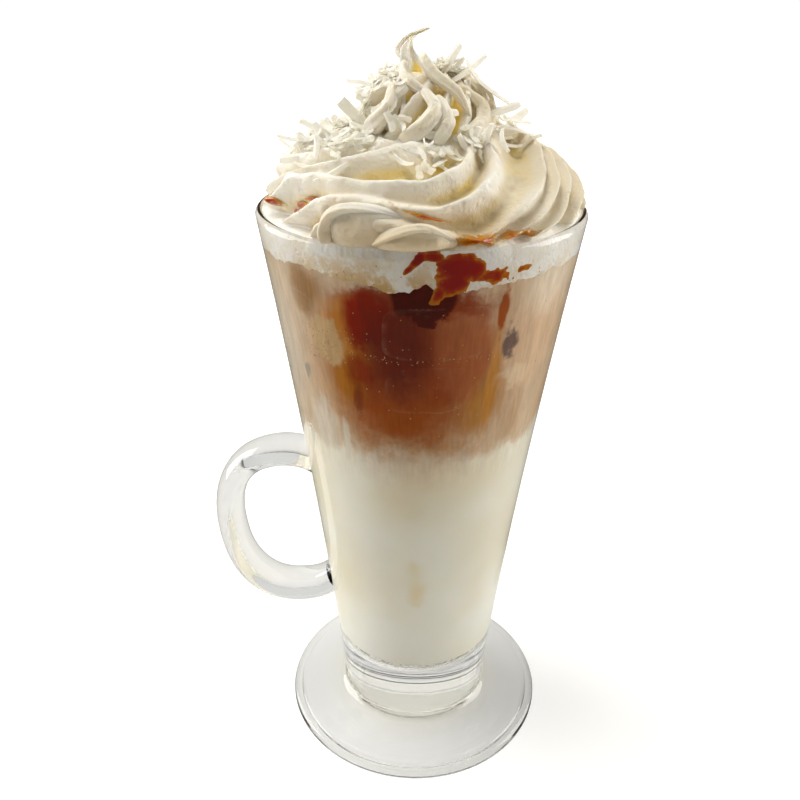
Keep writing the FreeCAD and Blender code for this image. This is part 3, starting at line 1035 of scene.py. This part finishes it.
def bubbles(material):
    """Tiny froth bubbles against the glass, as one mesh."""
    corners, faces = [], []
    rows, columns = 4, 8
    for left, right, low, high, count in BUBBLE_ZONES:
        for _ in range(count):
            at, z = random.uniform(left, right), random.uniform(low, high)
            size = random.uniform(0.07, 0.20)
            middle = around(np.array(bowl_inner_radius(z) + 0.05), at, z)
            start = len(corners)
            for row in range(rows + 1):
                turn = math.pi * row / rows
                for column in range(columns):
                    angle = 2 * math.pi * column / columns
                    corners.append(middle + size * np.array([
                        math.sin(turn) * math.cos(angle), math.sin(turn) * math.sin(angle),
                        math.cos(turn)]))
            faces += grid_faces(rows + 1, columns, True, start)
    return make_object("froth_bubbles", corners, faces, material)


# ---- stage, light and camera

def floor():
    """Pale floor: white to the camera far off, dark in the glass's reflections, and glowing a
    little as painted light under the glass's foot.
    """
    mat = Shader("pale_floor")
    path = mat.node("LightPath").outputs
    away = mat.radius()
    pale = mat.mix(mat.noise(0.02, 2.0), srgb(222, 222, 221), srgb(226, 226, 225))
    outside = mat.math("LESS_THAN", path["Transmission Depth"], 0.5)
    mirrored = mat.times(path["Is Glossy Ray"], outside)
    mirrored = mat.times(mirrored, mat.ramp(away, 50, 90))
    mat.set(Base_Color=mat.mix(mirrored, pale, srgb(96, 92, 84)),
            Roughness=0.9, Specular_IOR_Level=0.0)
    seen = mat.times(path["Is Camera Ray"], mat.ramp(away, 100, 600, 0.42, 1.0))
    # painted light: close under the foot the floor glows faintly for rays seen through the glass,
    # which brightens the foot
    straight = mat.math("LESS_THAN", path["Diffuse Depth"], 0.5)
    through = mat.times(path["Is Transmission Ray"], straight)
    through = mat.times(through, mat.ramp(away, 50, 40, 0.0, 0.10))
    mat.set(Emission_Color=(1, 1, 1, 1), Emission_Strength=mat.plus(seen, through))
    half = 6.0 / MM
    made = make_object("floor", [(-half, -half, 0), (half, -half, 0), (half, half, 0),
                                 (-half, half, 0)], [(0, 1, 2, 3)], mat.material)
    made.location.z = -0.04 * MM


def world():
    """White to the eye and grey through the glass; dim and warm as a light."""
    made = bpy.data.worlds.new("studio")
    bpy.context.scene.world = made
    made.use_nodes = True
    tree = Nodes(made.node_tree)

    def shade(kind, inputs):
        return tree.node(kind, inputs).outputs[0]

    path = tree.node("LightPath").outputs
    unscattered = tree.math("LESS_THAN", path["Diffuse Depth"], 0.5)
    within = tree.math("GREATER_THAN", path["Transmission Depth"], 0.5)
    inner = tree.times(path["Is Glossy Ray"], within)
    through = tree.math("MAXIMUM", path["Is Transmission Ray"], inner)
    through = tree.times(through, unscattered)
    ahead = tree.node("TexCoord").outputs["Generated"]
    rise = tree.node("SeparateXYZ", {0: ahead}).outputs[2]
    strength = shade("MapRange", {0: rise, 1: 0.0, 2: 0.7, 3: 0.66, 4: 0.76})
    ambient = shade("Background", {0: (1, 0.95, 0.85, 1), 1: 0.12})
    grey = shade("Background", {0: (1.0, 1.0, 0.98, 1), 1: strength})
    white = shade("Background", {0: (1, 1, 1, 1), 1: 1.0})
    mixed = shade("MixShader", {0: through, 1: ambient, 2: grey})
    mixed = shade("MixShader", {0: path["Is Camera Ray"], 1: mixed, 2: white})
    tree.put(tree.nodes["World Output"].inputs[0], mixed)


def lamp(name, place, target, size, power, colour, mirrored):
    data = bpy.data.lights.new(name, "AREA")
    data.shape = "RECTANGLE"
    data.size, data.size_y = size
    data.energy = power
    data.color = colour
    made = bpy.data.objects.new(name, data)
    made.location = place
    made.visible_transmission = False
    made.visible_glossy = mirrored
    made.rotation_euler = (Vector(target) - Vector(place)).to_track_quat("-Z", "Y").to_euler()
    bpy.context.collection.objects.link(made)


def lights():
    """Large soft lamps; places and sizes in metres, powers in watts."""
    middle = (0, 0, 0.11)
    plain, warm = (1.0, 0.99, 0.965), (1.0, 0.91, 0.72)
    lamp("left", (-0.78, 0.18, 0.32), middle, (0.5, 0.9), 6.6, plain, True)
    lamp("right", (0.76, 0.10, 0.30), middle, (0.5, 0.9), 6.6, plain, True)
    lamp("top", (-0.20, 0.03, 0.92), middle, (0.5, 0.4), 5.2, plain, False)
    lamp("front", (0.10, -1.0, 0.16), middle, (0.7, 0.4), 1.6, warm, False)


def camera():
    """Tall view from in front and above, at the height and tilt of a table shot."""
    yaw, tilt, roll = (math.radians(angle) for angle in (-1.39, 27.44, -0.29))
    place = (0, -197.6 * MM, 203.9 * MM)
    ahead = Vector((math.sin(yaw) * math.cos(tilt), math.cos(yaw) * math.cos(tilt),
                    -math.sin(tilt)))
    right = Vector((math.cos(yaw), -math.sin(yaw), 0))
    up = right.cross(ahead)
    turned_right = math.cos(roll) * right - math.sin(roll) * up
    turned_up = math.sin(roll) * right + math.cos(roll) * up
    data = bpy.data.cameras.new("camera")
    data.sensor_width = 36.0
    data.lens = 37.65
    data.clip_start = 0.01
    made = bpy.data.objects.new("camera", data)
    basis = Matrix((turned_right, turned_up, -ahead)).transposed()
    made.matrix_world = Matrix.Translation(place) @ basis.to_4x4()
    bpy.context.collection.objects.link(made)
    bpy.context.scene.camera = made


# ---- the object

def dress():
    """Put glass on its CAD node, and replace or add the other pieces."""
    milk = drink_material("milk_layer", 0.35)
    coffee = drink_material("coffee_layer", 0.15)
    syrup = syrup_material("caramel_syrup", 1.0, 0.8)
    wet_syrup = syrup_material("caramel_under_glass", 0.1, 1.35)
    glass = frame["nodes"]["glass"]
    glass.data.materials.clear()
    glass.data.materials.append(glass_material())

    pieces = {
        "milk": filling("milk_fill", milk_floor, milk_level, milk, True),
        "coffee": filling("coffee_fill", milk_level, coffee_level + 4, coffee, False),
        "cream": cream_swirl(cream_material()),
    }
    for node, piece in pieces.items():
        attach(piece, "root")
        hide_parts(node)
    cream = pieces["cream"].data.materials[0]
    extras = {
        "coffee": [ice(ice_material()), bubbles(bubble_material()),
                   film("syrup_in_glass", WALL_SYRUP, on_wall, 4, 0.5, wet_syrup),
                   film("syrup_on_cream", SWIRL_SYRUP, on_swirl, 150, 12, syrup)],
        "cream": [cream_folds(cream), slivers(sliver_material())],
    }
    for slot, made in extras.items():
        for piece in made:
            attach(piece, "root")


dress()
floor()
world()
lights()
camera()
bpy.context.scene.view_settings.view_transform = "Standard"
